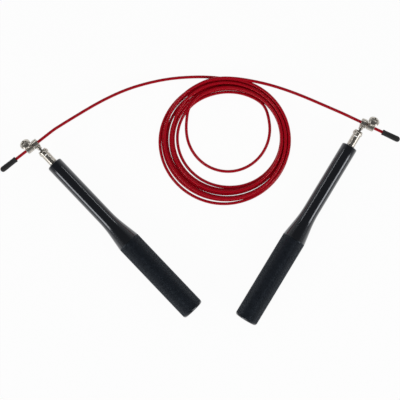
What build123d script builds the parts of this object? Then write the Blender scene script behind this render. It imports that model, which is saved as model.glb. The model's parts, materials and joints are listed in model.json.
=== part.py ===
"""Speed rope: two ball-bearing aluminium handles and one coated steel cable, laid flat.

Row frame: millimetres, +Z up, origin on the floor under the middle of the two handles.
Handle frame: origin at the eye's centre, +Z along the handle towards the eye, +Y up, +X along the eye's hole.
Cable frame: origin at the eye's centre, +Z along the cable away from the coil, +X along the clamp's screw.
"""

import math
import os

from build123d import *

# ---- cable -------------------------------------------------------------------------------------
CABLE_D = 2.5

# ---- handle shell, measured from its front face -------------------------------------------------
HANDLE_LENGTH = 168.3
NECK_R = 6.75  # slim glossy front part
GRIP_R = 10.0  # knurled grip, over the knurl's crests
FLARE_START = 61.3
FLARE_ARC = 15.0  # axial length of the concave arc, before the straight cone
GRIP_START = 89.5
FRONT_CHAMFER = 1.1
BUTT_FILLET = 1.2

# ---- ball bearings -----------------------------------------------------------------------------
SPINDLE_R = 2.0
BEARING_R = 5.0
BEARING_WIDTH = 4.0
INNER_RACE_WALL = 0.85
OUTER_RACE_WALL = 0.85
BALL_R = 0.9
BALL_CLEARANCE = 0.05
BALL_COUNT = 7
BEARING_GAP = 8.0  # between the two bearings
SHIELD_THICKNESS = 0.2
SHIELD_INSET = 0.1
SHIELD_CLEARANCE = 0.15
SPACER_WALL = 0.8

# ---- bore of the shell -------------------------------------------------------------------------
SNAP_RING_INSET = 0.5
SNAP_RING_THICKNESS = 0.7
SNAP_RING_DEPTH = 0.5  # how far the ring sits in its groove
SNAP_RING_WIDTH = 1.5
SNAP_RING_OPENING = 30.0  # degrees
SHOULDER = 0.6  # step that carries the rear outer race
CORE_START = 5.0  # hollow of the grip, from the start of the knurl
GRIP_WALL = 3.1
PLUG_LENGTH = 8.0
PLUG_DISH = 0.8

# ---- fork and its fastenings -------------------------------------------------------------------
FORK_R = 3.5
TIP_PAST_PIN = 2.7  # the arms end in a half round
FRONT_GAP = 0.5  # between the fork's base and the shell
EYE_TO_PIN = 10.0
EYE_TO_SHELL = 22.4
SLOT_WIDTH = 2.1
SLOT_DEPTH = 3.4  # below the pin
SPINDLE_SHOULDER = 0.7  # wider than the spindle
WASHER_RIM = 1.3
WASHER_THICKNESS = 0.5
NUT_FLATS = 7.0
NUT_THICKNESS = 2.7
SPINDLE_PROUD = 0.8  # thread that shows past the nut

# ---- pivot pin ---------------------------------------------------------------------------------
PIN_R = 1.1
PIN_FIT = 0.05  # running clearance in the tongue
PIN_HEAD_R = 2.4
PIN_HEAD_HEIGHT = 1.5
PIN_TAIL_R = 2.1
PIN_TAIL_HEIGHT = 1.3
SEAT_DEPTH = 0.7  # flat seats milled in the arms under the pin's head and tail

# ---- eye link ----------------------------------------------------------------------------------
EYE_WIDTH = 5.0
EYE_RIM_R = 3.8
EYE_EDGE_R = 2.9
EYE_THROAT_R = 1.6
EYE_MOUTH_R = 2.2
LINK_NECK_R = 1.9
TONGUE_THICKNESS = 1.8
TONGUE_R = 2.2
TONGUE_SHOULDER = 4.0  # from the pin to where the round neck starts

# ---- cable clamp, screw and end cap, measured along the cable from the eye's centre --------------
CLAMP_GAP = 0.6
CLAMP_LENGTH = 6.2
CLAMP_R = 3.5
CLAMP_EDGE = 0.5
SCREW_R = 1.9
THREAD_FIT = 0.05
SCREW_TIP_GAP = 0.15
SCREW_HEAD_R = 4.5
SCREW_HEAD_HEIGHT = 3.0
SCREW_HEAD_EDGE = 0.9  # straight side of the head, below its dome
SCREW_POINT = 0.3
SCREW_HEAD_UNDERSIDE = 7.0  # from the cable's axis
SCREW_TILT = 55.0  # degrees above the floor
CROSS_WIDTH = 1.1
CROSS_LENGTH = 5.0
CROSS_DEPTH = 1.7
CAP_R = 2.4
CAP_LENGTH = 16.0
CAP_END_WALL = 2.2

# ---- where the handles and the cable lie ---------------------------------------------------------
# Each handle is placed by its butt end, so a longer handle reaches further from the other one.
LEFT_BUTT = (-5.0, -73.2)
LEFT_ANGLE = 133.6  # of the handle, towards its eye
LEFT_CABLE_END = 34.2  # from the eye's centre to the cut end
RIGHT_BUTT = (38.2, -81.2)
RIGHT_ANGLE = 58.9
RIGHT_CABLE_END = 30.8

# The cable runs straight from its cut end through the clamp and the eye to a first bend, which is
# placed from the eye. The rest of the route is x, y and lift: 1 is the eye's height, 0 the floor.
LEFT_FIRST_BEND = (17.2, 13.4)
LEFT_ROUTE = [(-71.8, 107.4, 0.7), (-33.7, 119.4, 0.3), (0.2, 122.4, 0.08), (25.5, 120.1, 0.01)]
RIGHT_FIRST_BEND = (-18.2, 8.6)
RIGHT_ROUTE = [(70.5, 111.7, 0.78), (34.5, 120.2, 0.56), (11.5, 120.7, 0.43)]

# ---- coil: a flat bundle of turns, and one loose smaller turn inside it --------------------------
COIL_CENTRE = (21.0, 67.8)
COIL_RADII = (55.5, 54.1)
COIL_HEIGHT = 7.5
HOLLOW_SHIFT = (4.0, 2.6)
HOLLOW_RADII = (42.8, 40.3)
LOOSE_TURN_SHIFT = (2.5, 9.1)
LOOSE_TURN_RADII = (36.0, 35.1)

# ---- worked out from the above -------------------------------------------------------------------
CABLE_R = CABLE_D / 2
SHELL_FRONT = -EYE_TO_SHELL
SHELL_BUTT = SHELL_FRONT - HANDLE_LENGTH
FORK_BASE = SHELL_FRONT + FRONT_GAP
BEARING_FRONT = SHELL_FRONT - SNAP_RING_INSET - SNAP_RING_THICKNESS
REAR_BEARING_FRONT = BEARING_FRONT - BEARING_WIDTH - BEARING_GAP
BEARINGS_END = REAR_BEARING_FRONT - BEARING_WIDTH
WASHER_END = BEARINGS_END - WASHER_THICKNESS
NUT_END = WASHER_END - NUT_THICKNESS
SPINDLE_END = NUT_END - SPINDLE_PROUD
PITCH_R = (SPINDLE_R + BEARING_R) / 2
CORE_R = BEARING_R - SHOULDER
GRIP_BORE_R = GRIP_R - GRIP_WALL
GRIP_BORE_START = SHELL_FRONT - GRIP_START - CORE_START
CLAMP_START = EYE_WIDTH / 2 + CLAMP_GAP
CLAMP_MIDDLE = CLAMP_START + CLAMP_LENGTH / 2
CAP_MOUTH_TO_CUT_END = CAP_LENGTH - CAP_END_WALL


def ring(inner, outer, top, bottom):
    """A plain ring about the handle's axis."""
    with BuildPart() as plain_ring:
        with BuildSketch(Plane.XY.offset(bottom)):
            Circle(outer)
            Circle(inner, mode=Mode.SUBTRACT)
        extrude(amount=top - bottom)
    return plain_ring.part


def handle_shell():
    """Black aluminium shell: slim neck, flare and grip outside, stepped bore inside."""
    arc_end = FLARE_START + FLARE_ARC
    cone = GRIP_START - arc_end
    slope = math.atan((GRIP_R - NECK_R) / (FLARE_ARC / 2 + cone))
    arc_rise = FLARE_ARC * math.tan(slope / 2)
    with BuildPart() as shell:
        with BuildSketch(Plane.XZ) as outline:
            with BuildLine():
                nose = Polyline(
                    (0, SHELL_BUTT),
                    (0, SHELL_FRONT),
                    (NECK_R - FRONT_CHAMFER, SHELL_FRONT),
                    (NECK_R, SHELL_FRONT - FRONT_CHAMFER),
                    (NECK_R, SHELL_FRONT - FLARE_START),
                )
                flare = TangentArc(
                    nose @ 1, (NECK_R + arc_rise, SHELL_FRONT - arc_end), tangent=(0, -1)
                )
                Polyline(
                    flare @ 1,
                    (GRIP_R, SHELL_FRONT - GRIP_START),
                    (GRIP_R, SHELL_BUTT),
                    (0, SHELL_BUTT),
                )
            make_face()
        revolve(axis=Axis.Z)
        fillet(shell.edges().group_by(Axis.Z)[0], BUTT_FILLET)
        with BuildSketch(Plane.XY.offset(SHELL_FRONT)):
            Circle(BEARING_R)
        extrude(amount=BEARINGS_END - SHELL_FRONT, mode=Mode.SUBTRACT)
        with BuildSketch(Plane.XY.offset(BEARINGS_END)):
            Circle(CORE_R)
        extrude(amount=SHELL_BUTT - BEARINGS_END, mode=Mode.SUBTRACT)
        with BuildSketch(Plane.XY.offset(GRIP_BORE_START)):
            Circle(GRIP_BORE_R)
        extrude(amount=SHELL_BUTT - GRIP_BORE_START, mode=Mode.SUBTRACT)
        with BuildSketch(Plane.XY.offset(BEARING_FRONT)):
            Circle(BEARING_R + SNAP_RING_DEPTH)
        extrude(amount=SNAP_RING_THICKNESS, mode=Mode.SUBTRACT)
    return shell.part


def butt_plug():
    """Plug pressed into the open end of the grip, with a dished face."""
    with BuildPart() as plug:
        with BuildSketch(Plane.XY.offset(SHELL_BUTT)):
            Circle(GRIP_BORE_R)
        extrude(amount=PLUG_LENGTH)
        with BuildSketch(Plane.XY.offset(SHELL_BUTT)):
            Circle(GRIP_BORE_R * 0.75)
        extrude(amount=PLUG_DISH, mode=Mode.SUBTRACT, taper=30)
    return plug.part


def snap_ring():
    """Open spring ring in its groove, in front of the front bearing."""
    outer = BEARING_R + SNAP_RING_DEPTH
    with BuildPart() as snap:
        with BuildSketch(Plane.XY.offset(BEARING_FRONT)):
            Circle(outer)
            Circle(outer - SNAP_RING_WIDTH, mode=Mode.SUBTRACT)
            with BuildLine():
                Polyline(
                    (0, 0),
                    (2 * outer, -2 * outer * math.tan(math.radians(SNAP_RING_OPENING / 2))),
                    (2 * outer, 2 * outer * math.tan(math.radians(SNAP_RING_OPENING / 2))),
                    close=True,
                )
            make_face(mode=Mode.SUBTRACT)
        extrude(amount=SNAP_RING_THICKNESS)
    return snap.part


def race(inner, outer, front):
    """One race of a bearing, with its ball groove."""
    with BuildPart() as made:
        with BuildSketch(Plane.XY.offset(front)):
            Circle(outer)
            Circle(inner, mode=Mode.SUBTRACT)
        extrude(amount=-BEARING_WIDTH)
        with BuildSketch(Plane.XZ):
            with Locations((PITCH_R, front - BEARING_WIDTH / 2)):
                Circle(BALL_R + BALL_CLEARANCE)
        revolve(axis=Axis.Z, mode=Mode.SUBTRACT)
    return made.part


def balls(front):
    """The balls of one bearing, a group of separate solids."""
    with BuildPart() as group:
        with Locations(Location((0, 0, front - BEARING_WIDTH / 2))):
            with PolarLocations(PITCH_R, BALL_COUNT):
                Sphere(BALL_R)
    return group.part


def shields():
    """The four thin steel shields, one on each side of the two bearings."""
    inner = SPINDLE_R + INNER_RACE_WALL + SHIELD_CLEARANCE
    outer = BEARING_R - OUTER_RACE_WALL
    with BuildPart() as group:
        for front in (BEARING_FRONT, REAR_BEARING_FRONT):
            near = front - SHIELD_INSET
            far = front - BEARING_WIDTH + SHIELD_INSET + SHIELD_THICKNESS
            for face in (near, far):
                with BuildSketch(Plane.XY.offset(face)):
                    Circle(outer)
                    Circle(inner, mode=Mode.SUBTRACT)
                extrude(amount=-SHIELD_THICKNESS)
    return group.part


def fork():
    """Turned and slotted fork in one piece with the spindle that runs in the bearings."""
    tip = TIP_PAST_PIN - EYE_TO_PIN
    with BuildPart() as made:
        with BuildSketch(Plane.XY.offset(FORK_BASE)):
            Circle(FORK_R)
        extrude(amount=tip - FORK_BASE)
        with BuildSketch(Plane.YZ):
            with Locations((0, tip - FORK_R)):
                Circle(FORK_R)
                Rectangle(2 * FORK_R, tip - FORK_R - FORK_BASE, align=(Align.CENTER, Align.MAX))
        extrude(amount=FORK_R, both=True, mode=Mode.INTERSECT)
        with BuildSketch(Plane.YZ):
            with Locations((0, -EYE_TO_PIN - SLOT_DEPTH)):
                Rectangle(3 * FORK_R, 3 * FORK_R, align=(Align.CENTER, Align.MIN))
        extrude(amount=SLOT_WIDTH / 2, both=True, mode=Mode.SUBTRACT)
        with BuildSketch(Plane.YZ):
            with Locations((0, -EYE_TO_PIN)):
                Circle(PIN_R)
        extrude(amount=FORK_R, both=True, mode=Mode.SUBTRACT)
        for side, radius in ((1, PIN_HEAD_R), (-1, PIN_TAIL_R)):
            with BuildSketch(Plane.YZ.offset(side * (FORK_R - SEAT_DEPTH))):
                with Locations((0, -EYE_TO_PIN)):
                    Circle(radius)
            extrude(amount=side * 2 * SEAT_DEPTH, mode=Mode.SUBTRACT)
        fillet(made.edges().filter_by(GeomType.CIRCLE).group_by(Axis.Z)[0], 0.4)
        with BuildSketch(Plane.XY.offset(FORK_BASE)):
            Circle(SPINDLE_R + SPINDLE_SHOULDER)
        extrude(amount=BEARING_FRONT - FORK_BASE)
        with BuildSketch(Plane.XY.offset(BEARING_FRONT)):
            Circle(SPINDLE_R)
        extrude(amount=SPINDLE_END - BEARING_FRONT)
        chamfer(made.edges().group_by(Axis.Z)[0], 0.4)
    return made.part


def lock_nut():
    """Hexagon nut that holds the bearings on the spindle."""
    with BuildPart() as nut:
        with BuildSketch(Plane.XY.offset(NUT_END)):
            RegularPolygon(NUT_FLATS / 2, 6, major_radius=False)
            Circle(SPINDLE_R, mode=Mode.SUBTRACT)
        extrude(amount=NUT_THICKNESS)
    return nut.part


def pivot_pin():
    """Rivet through both arms: domed head on +X, closed tail on -X."""
    seat = FORK_R - SEAT_DEPTH
    with BuildPart() as pin:
        with BuildSketch(Plane.XY):
            with BuildLine():
                tail = TangentArc(
                    (0, -seat - PIN_TAIL_HEIGHT), (PIN_TAIL_R, -seat), tangent=(1, 0)
                )
                Polyline(tail @ 1, (PIN_R, -seat), (PIN_R, seat), (PIN_HEAD_R, seat))
                head = TangentArc((0, seat + PIN_HEAD_HEIGHT), (PIN_HEAD_R, seat), tangent=(1, 0))
                Line(head @ 0, tail @ 0)
            make_face()
        revolve(axis=Axis.Y)
    # The profile is revolved about Y, and Y is then turned onto the pin's axis.
    return pin.part.moved(Location((0, 0, -EYE_TO_PIN)) * Rotation(0, 0, -90))


def eye_link():
    """Flat tongue on the pin, round neck, and a crowned ring with a flared hole for the cable."""
    half = EYE_WIDTH / 2
    with BuildPart() as link:
        with BuildSketch(Plane.XY):
            with BuildLine():
                rim = ThreePointArc((-half, EYE_EDGE_R), (0, EYE_RIM_R), (half, EYE_EDGE_R))
                side = Line(rim @ 1, (half, EYE_MOUTH_R))
                hole = ThreePointArc(side @ 1, (0, EYE_THROAT_R), (-half, EYE_MOUTH_R))
                Line(hole @ 1, rim @ 0)
            make_face()
        revolve(axis=Axis.X)
        with BuildSketch(Plane.XY.offset(-EYE_TO_PIN + TONGUE_SHOULDER)):
            Circle(LINK_NECK_R)
        extrude(amount=EYE_TO_PIN - TONGUE_SHOULDER - EYE_EDGE_R)
        with BuildSketch(Plane.YZ):
            with Locations((0, -EYE_TO_PIN)):
                Circle(TONGUE_R)
                Rectangle(2 * LINK_NECK_R, TONGUE_SHOULDER + 0.5, align=(Align.CENTER, Align.MIN))
                Circle(PIN_R + PIN_FIT, mode=Mode.SUBTRACT)
        extrude(amount=TONGUE_THICKNESS / 2, both=True)
    return link.part


def cable_clamp():
    """Round clamp body, bored for the cable and tapped across for its screw."""
    with BuildPart() as body:
        with BuildSketch(Plane.XY.offset(CLAMP_START)):
            Circle(CLAMP_R)
        extrude(amount=CLAMP_LENGTH)
        chamfer(body.edges().filter_by(GeomType.CIRCLE), CLAMP_EDGE)
        with BuildSketch(Plane.XY.offset(CLAMP_START)):
            Circle(CABLE_R)
        extrude(amount=CLAMP_LENGTH, mode=Mode.SUBTRACT)
        with BuildSketch(Plane.YZ):
            with Locations((0, CLAMP_MIDDLE)):
                Circle(SCREW_R + THREAD_FIT)
        extrude(amount=2 * CLAMP_R, mode=Mode.SUBTRACT)
    return body.part


def clamp_screw():
    """Pan-head screw with a cross recess. Its tip stands just off the cable."""
    tip = CABLE_R + SCREW_TIP_GAP
    top = SCREW_HEAD_UNDERSIDE + SCREW_HEAD_HEIGHT
    with BuildPart() as screw:
        with BuildSketch(Plane.XY):
            with BuildLine():
                outline = Polyline(
                    (top, 0),
                    (tip, 0),
                    (tip, SCREW_R - SCREW_POINT),
                    (tip + SCREW_POINT, SCREW_R),
                    (SCREW_HEAD_UNDERSIDE, SCREW_R),
                    (SCREW_HEAD_UNDERSIDE, SCREW_HEAD_R),
                    (SCREW_HEAD_UNDERSIDE + SCREW_HEAD_EDGE, SCREW_HEAD_R),
                )
                TangentArc(outline @ 0, outline @ 1, tangent=(0, 1))
            make_face()
        revolve(axis=Axis.X)
        with BuildSketch(Plane.YZ.offset(top - CROSS_DEPTH)):
            Rectangle(CROSS_WIDTH, CROSS_LENGTH)
            Rectangle(CROSS_LENGTH, CROSS_WIDTH)
        extrude(amount=2 * CROSS_DEPTH, mode=Mode.SUBTRACT)
    return screw.part.moved(Location((0, 0, CLAMP_MIDDLE)))


def end_cap(cable_end):
    """Rubber cap pushed over the cut end of the cable."""
    mouth = cable_end - CAP_MOUTH_TO_CUT_END
    with BuildPart() as cap:
        with BuildSketch(Plane.XY.offset(mouth)):
            Circle(CAP_R)
        extrude(amount=CAP_LENGTH)
        fillet(cap.edges().group_by(Axis.Z)[-1], CAP_R - 0.4)
        fillet(cap.edges().group_by(Axis.Z)[0], 0.3)
        with BuildSketch(Plane.XY.offset(mouth)):
            Circle(CABLE_R)
        extrude(amount=CAP_MOUTH_TO_CUT_END, mode=Mode.SUBTRACT)
    return cap.part


def cable_run(corners):
    """Plain tube along one free run: straight runs joined by tangent arcs."""
    radii = []
    for before, corner, after in zip(corners, corners[1:], corners[2:]):
        turn = math.radians((corner - before).get_angle(after - corner))
        shorter = min((corner - before).length, (after - corner).length)
        radii.append(0.45 * shorter / math.tan(turn / 2))
    with BuildPart() as run:
        with BuildLine():
            path = FilletPolyline(*corners, radius=radii)
        with BuildSketch(Plane(origin=path @ 0, z_dir=path % 0)):
            Circle(CABLE_R)
        sweep(path=path)
    share = run.part.volume / (math.pi * CABLE_R**2 * path.length)
    print("run of", round(path.length, 1), "mm, arcs", [round(radius) for radius in radii])
    print("volume over section times length", round(share, 4))
    return run.part


def cable_coil():
    """Outer shape of the coiled stretch: the bundle of turns, and the loose turn inside it."""
    with BuildPart() as coil:
        with BuildSketch():
            with Locations(COIL_CENTRE):
                Ellipse(*COIL_RADII)
                with Locations(HOLLOW_SHIFT):
                    Ellipse(*HOLLOW_RADII, mode=Mode.SUBTRACT)
        extrude(amount=COIL_HEIGHT)
        with BuildSketch():
            with Locations(COIL_CENTRE):
                with Locations(LOOSE_TURN_SHIFT):
                    Ellipse(*(radius + CABLE_R for radius in LOOSE_TURN_RADII))
                    Ellipse(*(radius - CABLE_R for radius in LOOSE_TURN_RADII), mode=Mode.SUBTRACT)
        extrude(amount=CABLE_D)
    return coil.part


def save(name, shape):
    shape.label = name
    export_step(shape, f"parts/{name}.step")


def save_side(side, butt, handle_angle, cable_end, turned, first_bend, route):
    """Every piece of one handle, and of the cable's end in it."""
    across = math.radians(handle_angle)
    forward = Vector(math.cos(across), math.sin(across), 0)
    eye = Vector(*butt, GRIP_R) + forward * (HANDLE_LENGTH + EYE_TO_SHELL)
    handle = Plane(origin=eye, x_dir=(-forward.Y, forward.X, 0), z_dir=forward).location
    # The fork is turned so that the pin's head is on the coil's side.
    swivel = handle * Rotation(0, 0, turned)
    outward = -Vector(*first_bend, 0).normalized()
    corners = [eye + outward * cable_end, eye + Vector(*first_bend, 0)]
    corners += [Vector(x, y, CABLE_R + lift * (GRIP_R - CABLE_R)) for x, y, lift in route]
    beside = Vector(-outward.Y, outward.X, 0)
    if beside.dot(forward) < 0:
        beside = -beside
    tilt = math.radians(SCREW_TILT)
    screw_way = beside * math.cos(tilt) + Vector(0, 0, 1) * math.sin(tilt)
    cable = Plane(origin=eye, x_dir=screw_way, z_dir=outward).location

    inner_wall = SPINDLE_R + INNER_RACE_WALL
    outer_wall = BEARING_R - OUTER_RACE_WALL
    spacer_top = BEARING_FRONT - BEARING_WIDTH
    in_handle = {
        "shell": handle_shell(),
        "butt_plug": butt_plug(),
        "snap_ring": snap_ring(),
        "front_outer_race": race(outer_wall, BEARING_R, BEARING_FRONT),
        "rear_outer_race": race(outer_wall, BEARING_R, REAR_BEARING_FRONT),
        "outer_spacer": ring(BEARING_R - SPACER_WALL, BEARING_R, spacer_top, REAR_BEARING_FRONT),
        "bearing_shields": shields(),
        "front_balls": balls(BEARING_FRONT),
        "rear_balls": balls(REAR_BEARING_FRONT),
    }
    on_spindle = {
        "fork": fork(),
        "pivot_pin": pivot_pin(),
        "eye_link": eye_link(),
        "front_inner_race": race(SPINDLE_R, inner_wall, BEARING_FRONT),
        "rear_inner_race": race(SPINDLE_R, inner_wall, REAR_BEARING_FRONT),
        "inner_spacer": ring(SPINDLE_R, SPINDLE_R + SPACER_WALL, spacer_top, REAR_BEARING_FRONT),
        "washer": ring(SPINDLE_R, SPINDLE_R + WASHER_RIM, BEARINGS_END, WASHER_END),
        "lock_nut": lock_nut(),
    }
    on_cable = {
        "cable_clamp": cable_clamp(),
        "clamp_screw": clamp_screw(),
        "end_cap": end_cap(cable_end),
    }
    for location, pieces in ((handle, in_handle), (swivel, on_spindle), (cable, on_cable)):
        for name, piece in pieces.items():
            save(f"{side}_{name}", piece.moved(location))
    save(f"{side}_cable_run", cable_run(corners))


os.makedirs("parts", exist_ok=True)
save_side("left", LEFT_BUTT, LEFT_ANGLE, LEFT_CABLE_END, 180, LEFT_FIRST_BEND, LEFT_ROUTE)
save_side("right", RIGHT_BUTT, RIGHT_ANGLE, RIGHT_CABLE_END, 0, RIGHT_FIRST_BEND, RIGHT_ROUTE)
save("cable_coil", cable_coil())
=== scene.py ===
"""Speed rope laid flat: two black ball-bearing handles and one coiled red cable."""

import json
import math

import bpy
from mathutils import Matrix, Vector


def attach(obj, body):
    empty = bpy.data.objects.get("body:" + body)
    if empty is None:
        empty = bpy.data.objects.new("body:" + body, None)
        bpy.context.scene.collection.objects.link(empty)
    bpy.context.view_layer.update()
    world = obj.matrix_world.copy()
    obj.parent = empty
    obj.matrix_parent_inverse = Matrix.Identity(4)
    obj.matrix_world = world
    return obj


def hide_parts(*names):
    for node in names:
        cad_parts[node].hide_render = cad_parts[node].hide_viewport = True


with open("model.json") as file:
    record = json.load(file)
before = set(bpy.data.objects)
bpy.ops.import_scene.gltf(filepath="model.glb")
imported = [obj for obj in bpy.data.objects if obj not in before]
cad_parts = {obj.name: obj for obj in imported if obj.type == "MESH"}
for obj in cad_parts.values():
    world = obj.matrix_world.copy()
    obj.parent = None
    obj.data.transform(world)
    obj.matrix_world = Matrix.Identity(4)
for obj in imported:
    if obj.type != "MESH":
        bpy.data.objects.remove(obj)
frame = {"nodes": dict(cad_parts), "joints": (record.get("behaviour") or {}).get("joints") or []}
bpy.ops.object.select_all(action="DESELECT")
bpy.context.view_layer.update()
joints = {joint["name"]: joint for joint in frame["joints"]}
scene = bpy.context.scene
scene.view_settings.view_transform = "Standard"


# ---- Camera -------------------------------------------------------------------------------------
# The rope lies on a table and is seen from straight above, from about arm's length. The view is
# centred on the space between the coil and the two handles.
eye_height = joints["left_eye_swivel"]["pos_m"][2]
view_centre = Vector((0.0004, 0.0183, eye_height))
view_width = 0.3328
camera_distance = 0.80

bpy.ops.object.camera_add(
    location=view_centre + Vector((0, 0, camera_distance)), rotation=(0, 0, 0)
)
camera = bpy.context.object
camera.data.sensor_width = 36
camera.data.lens = camera.data.sensor_width * camera_distance / view_width
camera.data.clip_start = 0.01
scene.camera = camera


# ---- Cable --------------------------------------------------------------------------------------
# One length of twisted steel strand in a clear-coated red jacket, 2.5 mm thick. It runs from its
# cut end through a clamp and the left eye, is wound clockwise into a flat coil, and leaves the
# coil for the right eye. The coil is loose: one turn has slipped inwards.
CABLE_R = 0.00125

left_eye = Vector(joints["left_eye_swivel"]["pos_m"])
left_outward = Vector(joints["left_eye_swivel"]["axis"])
right_eye = Vector(joints["right_eye_swivel"]["pos_m"])
right_outward = Vector(joints["right_eye_swivel"]["axis"])
LEFT_CUT_END, LEFT_BEND = 0.0342, 0.0218
RIGHT_CUT_END, RIGHT_BEND = 0.0308, 0.02013
STRAIGHT_PAST_EYE = 0.015

left_run = [
    left_eye + left_outward * LEFT_CUT_END,
    left_eye - left_outward * STRAIGHT_PAST_EYE,
    left_eye - left_outward * LEFT_BEND,
    Vector((-0.0718, 0.1074, 0.00738)),
    Vector((-0.0337, 0.1194, 0.00388)),
    Vector((0.0002, 0.1224, 0.00195)),
    Vector((0.0255, 0.1201, 0.00134)),
]
right_run = [
    Vector((0.0115, 0.1207, 0.00501)),
    Vector((0.0345, 0.1202, 0.00615)),
    Vector((0.0705, 0.1117, 0.00808)),
    right_eye - right_outward * RIGHT_BEND,
    right_eye - right_outward * STRAIGHT_PAST_EYE,
    right_eye + right_outward * RIGHT_CUT_END,
]

# The bundle lies between two ellipses, each a centre, half its width and half its depth. A turn's
# place in it is its share of the way from the inner one to the outer one and its height, first
# where the bundle is wide, then where it is narrow.
BUNDLE_OUTER = (Vector((0.0210, 0.0678, 0)), 0.05485, 0.05315)
BUNDLE_INNER = (Vector((0.0250, 0.0704, 0)), 0.04405, 0.04155)
SLIPPED_TURN = (Vector((0.0240, 0.0780, 0)), 0.0354, 0.0360)
BESIDE_BUNDLE = (Vector((0.0250, 0.0704, 0)), 0.04150, 0.03900)
FIRST_LAYER, SECOND_LAYER, THIRD_LAYER = CABLE_R, 0.00338, 0.00550
WIDE, NARROW = 0.0142, 0.0062
bundle_turns = [
    (1.0, FIRST_LAYER, 1.0, FIRST_LAYER),
    (0.8, FIRST_LAYER, 1.0, THIRD_LAYER),
    (0.6, FIRST_LAYER, 0.75, SECOND_LAYER),
    (0.4, FIRST_LAYER, 0.5, FIRST_LAYER),
    (0.2, FIRST_LAYER, 0.25, SECOND_LAYER),
    (0.0, FIRST_LAYER, 0.0, FIRST_LAYER),
    None,
    (0.3, SECOND_LAYER, 0.0, THIRD_LAYER),
    (0.7, SECOND_LAYER, 0.5, THIRD_LAYER),
    (1.0, SECOND_LAYER, 1.0, THIRD_LAYER),
]
SWAY, SWAY_BY_TURN = 0.03, 1.9
POINTS_PER_TURN = 24

# The slipped turn rejoins the bundle at the top. A turn passes into the next over the crossing,
# which is a share of a turn.
REJOIN_FROM, REJOIN_OVER = 0.30, 0.65
CROSSING = 0.24


def ease(value):
    """Smooth step from 0 to 1."""
    value = min(max(value, 0.0), 1.0)
    return value * value * (3 - 2 * value)


def on_ellipse(ellipse, angle):
    centre, half_width, half_depth = ellipse
    return centre + Vector((half_width * math.cos(angle), half_depth * math.sin(angle), 0))


def place_in_coil(turn, angle):
    """Where a turn of the coil lies at an angle seen from above."""
    slot = bundle_turns[turn]
    if slot is None:
        beside = ease((math.sin(angle) - REJOIN_FROM) / REJOIN_OVER)
        loose = on_ellipse(SLIPPED_TURN, angle)
        return loose.lerp(on_ellipse(BESIDE_BUNDLE, angle), beside) + Vector((0, 0, FIRST_LAYER))
    inner, outer = on_ellipse(BUNDLE_INNER, angle), on_ellipse(BUNDLE_OUTER, angle)
    narrowness = ease((WIDE - (outer - inner).length) / (WIDE - NARROW))
    wide_share, wide_height, narrow_share, narrow_height = slot
    share = wide_share + (narrow_share - wide_share) * narrowness
    share += SWAY * math.sin(2 * angle + SWAY_BY_TURN * turn) * (1 - narrowness)
    height = wide_height + (narrow_height - wide_height) * narrowness
    return inner.lerp(outer, min(max(share, 0.0), 1.0)) + Vector((0, 0, height))


# The runs take over from the coil two points after its top and two before it.
coil_points = []
last_turn = len(bundle_turns) - 1
for step in range(2, last_turn * POINTS_PER_TURN - 1):
    turn, part = divmod(step / POINTS_PER_TURN, 1)
    angle = math.pi / 2 - 2 * math.pi * part
    here, following = (place_in_coil(int(turn) + n, angle) for n in (0, 1))
    coil_points.append(here.lerp(following, ease((part - 1 + CROSSING) / CROSSING)))

cable_line = bpy.data.curves.new("cable", "CURVE")
cable_line.dimensions = "3D"
cable_line.resolution_u = 6
route = cable_line.splines.new("NURBS")
cable_points = left_run + coil_points + right_run
route.points.add(len(cable_points) - 1)
for point, position in zip(route.points, cable_points):
    point.co = (*position, 1)
route.order_u = 3
route.use_endpoint_u = True
cable = bpy.data.objects.new("cable", cable_line)
scene.collection.objects.link(cable)
path = [vertex.co.copy() for vertex in bpy.data.meshes.new_from_object(cable).vertices]

cable_line.bevel_depth = CABLE_R
cable_line.bevel_resolution = 4
bpy.context.view_layer.objects.active = cable
cable.select_set(True)
bpy.ops.object.convert(target="MESH")
cable = bpy.context.object
bpy.ops.object.shade_smooth()

# The strand's twist follows the cable: the map's first number becomes metres along it.
ring_size = len(cable.data.vertices) // len(path)
travelled = [0.0]
for start, end in zip(path, path[1:]):
    travelled.append(travelled[-1] + (end - start).length)
cable_map = cable.data.uv_layers[0]
for loop in cable.data.loops:
    cable_map.data[loop.index].uv.x = travelled[loop.vertex_index // ring_size]


def close_ends():
    """Closes the active piece's open edges with flat faces."""
    bpy.ops.object.mode_set(mode="EDIT")
    bpy.ops.mesh.select_all(action="DESELECT")
    bpy.ops.mesh.select_non_manifold()
    bpy.ops.mesh.edge_face_add()
    bpy.ops.mesh.select_all(action="SELECT")
    bpy.ops.mesh.normals_make_consistent(inside=False)
    bpy.ops.object.mode_set(mode="OBJECT")


close_ends()


class Value:
    """What a node gives out. Sums on it add Math nodes."""

    def __init__(self, nodes, socket):
        self.nodes, self.socket = nodes, socket

    def math(self, operation, *others):
        sockets = dict(enumerate((self, *others)))
        return self.nodes.node("ShaderNodeMath", {"operation": operation}, sockets)

    def __add__(self, other):
        return self.math("ADD", other)

    __radd__ = __add__

    def __mul__(self, other):
        return self.math("MULTIPLY", other)

    __rmul__ = __mul__

    def sine(self):
        return self.math("SINE")

    def ramp(self, low, high, below=0.0, above=1.0):
        """One number below low, another above high, and a straight line between them."""
        sockets = {0: self, 1: low, 2: high, 3: below, 4: above}
        return self.nodes.node("ShaderNodeMapRange", {}, sockets)


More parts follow.
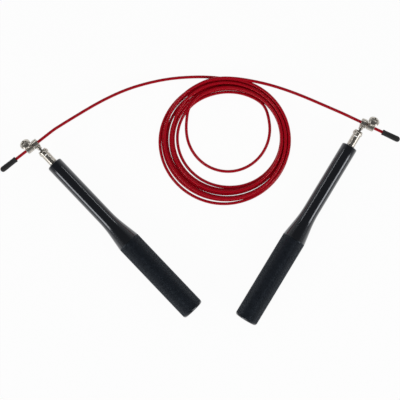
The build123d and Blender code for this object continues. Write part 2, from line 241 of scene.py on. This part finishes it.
class Nodes:
    """The nodes of a material or of the world, and the shader that they feed."""

    def __init__(self, owner, shader):
        owner.use_nodes = True
        self.tree = owner.node_tree
        self.shader = self.tree.nodes[shader]

    def set(self, socket, value):
        """Gives one of the shader's sockets a constant, or the value that feeds it."""
        if isinstance(value, Value):
            self.tree.links.new(value.socket, self.shader.inputs[socket])
        else:
            self.shader.inputs[socket].default_value = value

    def node(self, kind, settings, sockets, output=0):
        """Adds a node: its settings first, then the values or links of its sockets."""
        made = self.tree.nodes.new(kind)
        for setting, value in settings.items():
            setattr(made, setting, value)
        for key, value in sockets.items():
            if isinstance(value, Value):
                self.tree.links.new(value.socket, made.inputs[key])
            else:
                made.inputs[key].default_value = value
        return Value(self, made.outputs[output])

    def part_of(self, vector, axis):
        return self.node("ShaderNodeSeparateXYZ", {}, {0: vector}, axis)


class Finish(Nodes):
    """A material: one Principled shader and the nodes that vary it."""

    def __init__(self, name, colour, **constants):
        self.material = bpy.data.materials.new(name)
        self.material.diffuse_color = (*colour, 1)
        super().__init__(self.material, "Principled BSDF")
        self.set("Base Color", (*colour, 1))
        for socket, value in constants.items():
            self.set(socket.replace("_", " ").title(), value)

    def place(self):
        return self.node("ShaderNodeTexCoord", {}, {}, "Object")

    def noise(self, vector, scale, detail):
        sockets = {"Vector": vector, "Scale": scale, "Detail": detail}
        return self.node("ShaderNodeTexNoise", {}, sockets)

    def colour(self, amount, first, second):
        """Base colour between two, by an amount from 0 to 1."""
        sockets = {0: amount, 6: (*first, 1), 7: (*second, 1)}
        self.set("Base Color", self.node("ShaderNodeMix", {"data_type": "RGBA"}, sockets, 2))

    def bump(self, height, distance, strength):
        sockets = {"Strength": strength, "Distance": distance, "Height": height}
        self.set("Normal", self.node("ShaderNodeBump", {}, sockets))


# The jacket is thin and a little clear, so the wires under it show as slanting lines.
STRAND_LAY, STRANDS = 0.0115, 7
jacket = Finish("cable_jacket", (0.50, 0.002, 0.012), roughness=0.30, coat_weight=0.15)
jacket.set("Coat Roughness", 0.08)
jacket.set("Specular IOR Level", 0.15)
cable_place = jacket.node("ShaderNodeTexCoord", {}, {}, "UV")
along, around = jacket.part_of(cable_place, "X"), jacket.part_of(cable_place, "Y")
wires = (along * (2 * math.pi * STRANDS / STRAND_LAY) + around * (2 * math.pi * STRANDS)).sine()
wires = wires * 0.5 + 0.5
jacket.colour(wires, (0.36, 0.0008, 0.009), (0.66, 0.002, 0.017))
jacket.bump(wires, 0.000012, 0.3)
cable.data.materials.append(jacket.material)

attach(cable, "rope")
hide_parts("cable_coil", "left_cable_run", "right_cable_run")


# ---- Handle shells ------------------------------------------------------------------------------
# Each handle is one bar of aluminium, turned to a slim neck that flares into the grip, bored for
# its bearings and hollow in the grip. The grip is diamond knurled. The whole is anodised black,
# glossy on the neck and duller over the knurl. The knurl's points are painted a little brighter
# and bluer, a painted sheen made patchy by a noise that also varies the knurl's roughness.
FRONT, BUTT = -0.0224, -0.1907
NECK_R, GRIP_R = 0.00675, 0.0100
FLARE_START, FLARE_ARC_END, GRIP_START = FRONT - 0.0613, FRONT - 0.0763, FRONT - 0.0895
SIDES = 88
KNURL_DEPTH, KNURL_ROWS = 0.00022, 98
KNURL_START, KNURL_END = GRIP_START - 0.0004, BUTT + 0.0014
SEAT_R, GROOVE_R, SHOULDER_R, HOLLOW_R = 0.0050, 0.0055, 0.0044, 0.0070
GROOVE_FRONT, GROOVE_BACK = FRONT - 0.0005, FRONT - 0.0012
SEAT_END, HOLLOW_START = FRONT - 0.0172, GRIP_START - 0.0050
WELD_DISTANCE = 0.000002


def turn_on_lathe(name, sides, stations):
    """A turned piece on the Z axis, drawn ring by ring: each station is a radius and a place."""
    radius, place = stations[0]
    bpy.ops.mesh.primitive_circle_add(vertices=sides, radius=radius, location=(0, 0, place))
    turned = bpy.context.object
    turned.name = name
    bpy.ops.object.transform_apply(location=True)
    bpy.ops.object.mode_set(mode="EDIT")
    bpy.ops.mesh.select_all(action="SELECT")
    for next_radius, next_place in stations[1:]:
        bpy.ops.mesh.extrude_region_move(
            TRANSFORM_OT_translate={"value": (0, 0, next_place - place)}
        )
        grown = next_radius / radius
        bpy.ops.transform.resize(value=(grown, grown, 1), center_override=(0, 0, next_place))
        radius, place = next_radius, next_place
    bpy.ops.mesh.select_all(action="SELECT")
    bpy.ops.mesh.remove_doubles(threshold=WELD_DISTANCE)
    bpy.ops.mesh.normals_make_consistent(inside=False)
    bpy.ops.object.mode_set(mode="OBJECT")
    return turned


def flare_stations(count):
    """The hollow curve from the neck into the cone, as an arc that leaves the neck smoothly."""
    arc, cone = FLARE_START - FLARE_ARC_END, FLARE_ARC_END - GRIP_START
    rise = GRIP_R - NECK_R
    slope = math.atan(rise / (arc / 2 + cone))
    radius = arc / math.sin(slope)
    for step in range(count + 1):
        turned = slope * step / count
        yield NECK_R + radius * (1 - math.cos(turned)), FLARE_START - radius * math.sin(turned)


def place_at_eye(side, joint):
    """A turned piece's place: its origin in the eye, its Z along a joint's axis and its Y up."""
    along = Vector(joints[side + joint]["axis"]).normalized()
    upward = Vector((0, 0, 1))
    place = Matrix((upward.cross(along), upward, along)).transposed().to_4x4()
    place.translation = Vector(joints[side + "_eye_swivel"]["pos_m"])
    return place


def settle(piece, place):
    """Puts a finished piece in its place and leaves that place in its mesh."""
    bpy.ops.object.select_all(action="DESELECT")
    piece.select_set(True)
    bpy.context.view_layer.objects.active = piece
    piece.matrix_world = place
    bpy.ops.object.transform_apply(location=True, rotation=True, scale=True)


gloss = Finish("black_anodised", (0.005, 0.006, 0.009), coat_weight=0.8, coat_roughness=0.10)
gloss.set("Specular IOR Level", 0.4)
gloss.set("Specular Tint", (0.80, 0.88, 1.0, 1))
gloss_place = gloss.place()
gloss.set("Roughness", gloss.noise(gloss_place, 900.0, 3.0) * 0.10 + 0.12)
gloss.bump(gloss.noise(gloss_place, 2600.0, 2.0), 0.000003, 0.3)

knurled = Finish("knurled_anodised", (0.012, 0.014, 0.02))
knurled.set("Specular IOR Level", 0.35)
knurled.set("Specular Tint", (0.70, 0.84, 1.0, 1))
crest = knurled.node("ShaderNodeAttribute", {"attribute_name": "crest"}, {}, "Fac")
wear_and_sheen = knurled.noise(knurled.place(), 320.0, 4.0).ramp(0.35, 0.75)
# Painted sheen: the crests are coloured brighter and bluer than the hollows, patchily, in place of
# the light they catch.
knurled.colour(crest * (wear_and_sheen * 0.6 + 0.4), (0.003, 0.004, 0.006), (0.015, 0.019, 0.030))
knurled.set("Roughness", crest * -0.08 + (wear_and_sheen * 0.1 + 0.32))

for side in ("left", "right"):
    neck = [
        (SEAT_R, FRONT - 0.0002),
        (SEAT_R + 0.0002, FRONT),
        (0.0057, FRONT),
        (0.0062, FRONT - 0.00018),
        (0.0066, FRONT - 0.0006),
        (NECK_R, FRONT - 0.0012),
        (NECK_R, FRONT - 0.0100),
        (NECK_R, FRONT - 0.0400),
        *flare_stations(12),
        (GRIP_R - 0.00012, GRIP_START + 0.0005),
        (GRIP_R - 0.00002, GRIP_START + 0.0001),
        (GRIP_R - 0.00008, GRIP_START - 0.0001),
        (GRIP_R - KNURL_DEPTH, KNURL_START),
    ]
    shell = turn_on_lathe(side + "_shell_body", SIDES, neck)
    butt = [
        (GRIP_R - KNURL_DEPTH, KNURL_END),
        (GRIP_R - 0.0001, KNURL_END - 0.0002),
        (GRIP_R - 0.0002, BUTT + 0.0008),
        (GRIP_R - 0.0006, BUTT + 0.0003),
        (GRIP_R - 0.0012, BUTT),
        (HOLLOW_R + 0.0001, BUTT),
        (HOLLOW_R, BUTT + 0.0001),
        (HOLLOW_R, HOLLOW_START),
        (SHOULDER_R, HOLLOW_START),
        (SHOULDER_R, SEAT_END),
        (SEAT_R, SEAT_END),
        (SEAT_R, GROOVE_BACK),
        (GROOVE_R, GROOVE_BACK),
        (GROOVE_R, GROOVE_FRONT),
        (SEAT_R, GROOVE_FRONT),
        (SEAT_R, FRONT - 0.0002),
    ]
    bore = turn_on_lathe(side + "_shell_bore", SIDES, butt)

    # The knurl starts as a plain tube with a grid of corners, and every second corner is raised.
    bpy.ops.mesh.primitive_cylinder_add(
        vertices=SIDES,
        radius=GRIP_R - KNURL_DEPTH,
        depth=KNURL_START - KNURL_END,
        end_fill_type="NOTHING",
        location=(0, 0, (KNURL_START + KNURL_END) / 2),
    )
    knurl = bpy.context.object
    bpy.ops.object.transform_apply(location=True)
    bpy.ops.object.mode_set(mode="EDIT")
    bpy.ops.mesh.select_mode(type="EDGE")
    bpy.ops.mesh.select_all(action="DESELECT")
    bpy.ops.object.mode_set(mode="OBJECT")
    row_height = (KNURL_START - KNURL_END) / KNURL_ROWS
    corners = knurl.data.vertices
    for edge in knurl.data.edges:
        start, end = (corners[index].co for index in edge.vertices)
        edge.select = abs(start.z - end.z) > row_height
    bpy.ops.object.mode_set(mode="EDIT")
    bpy.ops.mesh.subdivide(number_cuts=KNURL_ROWS - 1)
    bpy.ops.mesh.select_mode(type="VERT")
    bpy.ops.mesh.select_all(action="DESELECT")
    bpy.ops.object.mode_set(mode="OBJECT")
    raised = knurl.data.attributes.new("crest", "FLOAT", "POINT")
    for corner in knurl.data.vertices:
        column = round(math.atan2(corner.co.y, corner.co.x) / (2 * math.pi / SIDES))
        row = round((corner.co.z - KNURL_END) / row_height)
        corner.select = (column + row) % 2 == 1 and 0 < row < KNURL_ROWS
        raised.data[corner.index].value = float(corner.select)
    bpy.ops.object.mode_set(mode="EDIT")
    grown = GRIP_R / (GRIP_R - KNURL_DEPTH)
    bpy.ops.transform.resize(value=(grown, grown, 1), center_override=(0, 0, 0))
    bpy.ops.mesh.select_all(action="SELECT")
    bpy.ops.mesh.quads_convert_to_tris(quad_method="SHORTEST_DIAGONAL")
    bpy.ops.mesh.normals_make_consistent(inside=False)
    bpy.ops.object.mode_set(mode="OBJECT")

    shell.data.materials.append(gloss.material)
    bore.data.materials.append(gloss.material)
    knurl.data.materials.append(knurled.material)
    bpy.ops.object.select_all(action="DESELECT")
    for part in (bore, knurl, shell):
        part.select_set(True)
    bpy.context.view_layer.objects.active = shell
    bpy.ops.object.join()
    bpy.ops.object.mode_set(mode="EDIT")
    bpy.ops.mesh.select_all(action="SELECT")
    bpy.ops.mesh.remove_doubles(threshold=WELD_DISTANCE)
    bpy.ops.mesh.normals_make_consistent(inside=False)
    bpy.ops.object.mode_set(mode="OBJECT")
    bpy.ops.object.shade_smooth_by_angle(angle=math.radians(28))
    settle(shell, place_at_eye(side, "_handle_spin"))
    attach(shell, side + "_handle")
    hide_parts(side + "_shell")


# ---- Butt plugs ---------------------------------------------------------------------------------
# A moulded black plug is pressed into the open end of each grip. Its face is dished.
plug_finish = Finish("black_plastic", (0.018, 0.018, 0.02), roughness=0.5)
plug_finish.bump(plug_finish.noise(plug_finish.place(), 2200.0, 2.0), 0.00002, 0.5)


def refinish(node, finish):
    """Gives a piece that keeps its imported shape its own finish."""
    piece = frame["nodes"][node]
    piece.data.materials.clear()
    piece.data.materials.append(finish.material)


for side in ("left", "right"):
    refinish(side + "_butt_plug", plug_finish)


# ---- Bearings -----------------------------------------------------------------------------------
# Two shielded ball bearings carry each handle on its spindle, held apart by two sleeves and kept in
# by a snap ring. Only the ring and the front bearing show, in the mouth of the shell.
bearing = Finish("bearing_steel", (0.56, 0.56, 0.57), metallic=1.0)
bearing.set("Roughness", bearing.noise(bearing.place(), 1500.0, 2.0) * 0.2 + 0.14)
spring = Finish("spring_steel", (0.16, 0.16, 0.17), roughness=0.4, metallic=1.0)
spring.bump(spring.noise(spring.place(), 3000.0, 2.0), 0.00001, 0.5)
for side in ("left", "right"):
    for node in (
        "front_outer_race",
        "rear_outer_race",
        "front_inner_race",
        "rear_inner_race",
        "front_balls",
        "rear_balls",
        "bearing_shields",
    ):
        refinish(side + "_" + node, bearing)
    refinish(side + "_snap_ring", spring)


# ---- Forks, pins and eye links ------------------------------------------------------------------
# Turned steel, bright nickel plated. The slotted fork and its spindle are one piece. The pin is
# riveted through both arms and carries the eye link, whose rounded eye lets the cable turn freely.
nickel = Finish("nickel_plate", (0.56, 0.53, 0.48), metallic=1.0)
nickel_place = nickel.place()
tarnish = nickel.noise(nickel_place, 420.0, 4.0)
nickel.colour(tarnish.ramp(0.35, 0.7), (0.60, 0.57, 0.52), (0.44, 0.41, 0.36))
nickel.set("Roughness", tarnish * 0.14 + 0.19)
nickel.bump(nickel.noise(nickel_place, 2400.0, 3.0), 0.000004, 0.3)
for side in ("left", "right"):
    for node in ("fork", "pivot_pin", "eye_link"):
        refinish(side + "_" + node, nickel)
    for node in ("inner_spacer", "outer_spacer", "washer", "lock_nut"):
        refinish(side + "_" + node, nickel)

# The eye's rim is turned with a groove just inside each edge.
EYE_HALF_WIDTH, EYE_RIM_R, EYE_GROOVE_R = 0.0025, 0.00385, 0.0034
rim_side = [
    (EYE_RIM_R - 0.0010, EYE_HALF_WIDTH),
    (EYE_RIM_R - 0.00015, EYE_HALF_WIDTH),
    (EYE_RIM_R, EYE_HALF_WIDTH - 0.00015),
    (EYE_RIM_R, EYE_HALF_WIDTH - 0.00045),
    (EYE_GROOVE_R, EYE_HALF_WIDTH - 0.00055),
    (EYE_GROOVE_R, EYE_HALF_WIDTH - 0.00085),
    (EYE_RIM_R, EYE_HALF_WIDTH - 0.0010),
]
for side in ("left", "right"):
    section = rim_side + [(radius, -place) for radius, place in reversed(rim_side)] + rim_side[:1]
    rim = turn_on_lathe(side + "_eye_rim", 40, section)
    rim.data.materials.append(nickel.material)
    bpy.ops.object.shade_smooth_by_angle(angle=math.radians(30))
    settle(rim, place_at_eye(side, "_eye_swivel"))
    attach(rim, side + "_link")


# ---- Cable clamps and their screws --------------------------------------------------------------
# A round nickel-plated clamp sits on the cable outside each eye and stops the eye. A pan-head screw
# with a cross recess holds it. A stretch of the screw's thread shows under the head.
SCREW_R = 0.0019
ROOT_R, CREST_R = SCREW_R + 0.00002, SCREW_R + 0.0002
THREAD_PITCH = 0.0007
THREAD_FROM, THREAD_TO = 0.0032, 0.0069

screw_metal = Finish("screw_steel", (0.52, 0.49, 0.44), metallic=1.0)
screw_place = screw_metal.place()
screw_metal.set("Roughness", screw_metal.noise(screw_place, 700.0, 3.0) * 0.14 + 0.17)
screw_metal.bump(screw_metal.noise(screw_place, 3000.0, 2.0), 0.000004, 0.3)

for side in ("left", "right"):
    refinish(side + "_cable_clamp", nickel)
    refinish(side + "_clamp_screw", screw_metal)
    threads = round((THREAD_TO - THREAD_FROM) / THREAD_PITCH)
    sunk = SCREW_R - 0.0001
    ridges = [(sunk, THREAD_FROM)]
    for ridge in range(threads):
        root = THREAD_FROM + ridge * THREAD_PITCH
        ridges += [
            (ROOT_R, root),
            (CREST_R, root + THREAD_PITCH * 0.4),
            (CREST_R, root + THREAD_PITCH * 0.55),
        ]
    ridges += [(ROOT_R, THREAD_TO), (sunk, THREAD_TO), ridges[0]]
    thread = turn_on_lathe(side + "_screw_thread", 28, ridges)
    thread.data.materials.append(screw_metal.material)
    bpy.ops.object.shade_smooth_by_angle(angle=math.radians(30))
    screw_axis = Vector(joints[side + "_screw_turn"]["axis"]).normalized()
    outward = Vector(joints[side + "_eye_swivel"]["axis"]).normalized()
    place = Matrix((outward, screw_axis.cross(outward), screw_axis)).transposed().to_4x4()
    place.translation = Vector(joints[side + "_screw_turn"]["pos_m"])
    settle(thread, place)
    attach(thread, side + "_screw")


# ---- End caps -----------------------------------------------------------------------------------
# A soft black rubber cap is pushed over each cut end. It has a thick lip at its mouth and a round
# tip, and its skin is matte. With its clamps, screws and caps the cable is complete.
CAP_R, CAP_LENGTH, CAP_GRIP = 0.0024, 0.0160, 0.0138
TIP_STEPS, TIP_FLAT_R = 7, 0.00004
rubber = Finish("cap_rubber", (0.009, 0.009, 0.010))
rubber_place = rubber.place()
rubber.set("Roughness", rubber.noise(rubber_place, 500.0, 3.0) * 0.2 + 0.5)
rubber.bump(rubber.noise(rubber_place, 1800.0, 3.0), 0.00003, 0.5)

for side, cut_end in (("left", LEFT_CUT_END), ("right", RIGHT_CUT_END)):
    mouth = cut_end - CAP_GRIP
    tip = mouth + CAP_LENGTH
    skin = [
        (CABLE_R, cut_end),
        (CABLE_R, mouth + 0.0003),
        (CABLE_R + 0.0003, mouth),
        (CAP_R - 0.0003, mouth),
        (CAP_R, mouth + 0.0003),
        (CAP_R, mouth + 0.0012),
        (CAP_R - 0.00015, mouth + 0.0016),
        (CAP_R - 0.00010, mouth + 0.0060),
        (CAP_R, tip - 0.0050),
    ]
    for step in range(TIP_STEPS + 1):
        turned = math.radians(5 + 85 * step / TIP_STEPS)
        radius = max(CAP_R * math.cos(turned), TIP_FLAT_R)
        skin.append((radius, tip - CAP_R * (1 - math.sin(turned))))
    cap = turn_on_lathe(side + "_cap", 32, skin)
    close_ends()
    bpy.ops.object.shade_smooth_by_angle(angle=math.radians(40))
    cap.data.materials.append(rubber.material)
    settle(cap, place_at_eye(side, "_eye_swivel"))
    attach(cap, "rope")
    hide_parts(side + "_end_cap")


# ---- Table and studio light ---------------------------------------------------------------------
# A white table stands in a room that is light round its walls and dark at its ceiling. Two broad
# soft boxes stand low on the near side and two narrow ones on the far side.
TABLE_SIZE, TABLE_TOP = 8, -0.0001
GLOW_SHARE = 0.96
bpy.ops.mesh.primitive_plane_add(size=TABLE_SIZE, location=(0, 0, TABLE_TOP))
table = bpy.context.object
table.name = "table"
bpy.ops.object.transform_apply(location=True)

# Seen directly or mirrored, the table is nearly all glow, so that it stays evenly white.
white = Finish("white_table", (0.85, 0.85, 0.85), roughness=0.7)
camera_ray, glossy_ray, transmission_ray = (
    white.node("ShaderNodeLightPath", {}, {}, ray)
    for ray in ("Is Camera Ray", "Is Glossy Ray", "Is Transmission Ray")
)
share = camera_ray.math("MAXIMUM", glossy_ray).math("MAXIMUM", transmission_ray) * GLOW_SHARE
paint = Value(white, white.shader.outputs[0])
glow = white.node("ShaderNodeEmission", {}, {"Strength": 1.0})
mixed = white.node("ShaderNodeMixShader", {}, {0: share, 1: paint, 2: glow})
white.tree.links.new(mixed.socket, white.tree.nodes["Material Output"].inputs["Surface"])
table.data.materials.append(white.material)

# Past the table the view is white.
WALL_LIGHT, CEILING_LIGHT = 0.55, 0.13
scene.world = bpy.data.worlds.new("room")
room = Nodes(scene.world, "Background")
upward = room.part_of(room.node("ShaderNodeTexCoord", {}, {}, "Generated"), "Z")
room_light = upward.ramp(0.15, 0.75, WALL_LIGHT, CEILING_LIGHT)
camera_ray = room.node("ShaderNodeLightPath", {}, {}, "Is Camera Ray")
room.set("Strength", room_light.math("MAXIMUM", camera_ray))
room.set("Color", (1, 1, 1, 1))

for name, position, size, energy in (
    ("near_left_box", (-0.78, -0.74, 0.62), (0.65, 0.42), 4.4),
    ("near_right_box", (0.92, -0.56, 0.62), (0.65, 0.42), 4.4),
    ("far_left_box", (-0.80, 0.62, 0.75), (0.6, 0.10), 1.0),
    ("far_right_box", (0.72, 0.78, 0.75), (0.6, 0.10), 1.0),
):
    lamp = bpy.data.lights.new(name, "AREA")
    lamp.shape = "RECTANGLE"
    lamp.size, lamp.size_y = size
    lamp.energy = energy
    box = bpy.data.objects.new(name, lamp)
    box.location = position
    box.rotation_euler = (-box.location).to_track_quat("-Z", "Y").to_euler()
    scene.collection.objects.link(box)
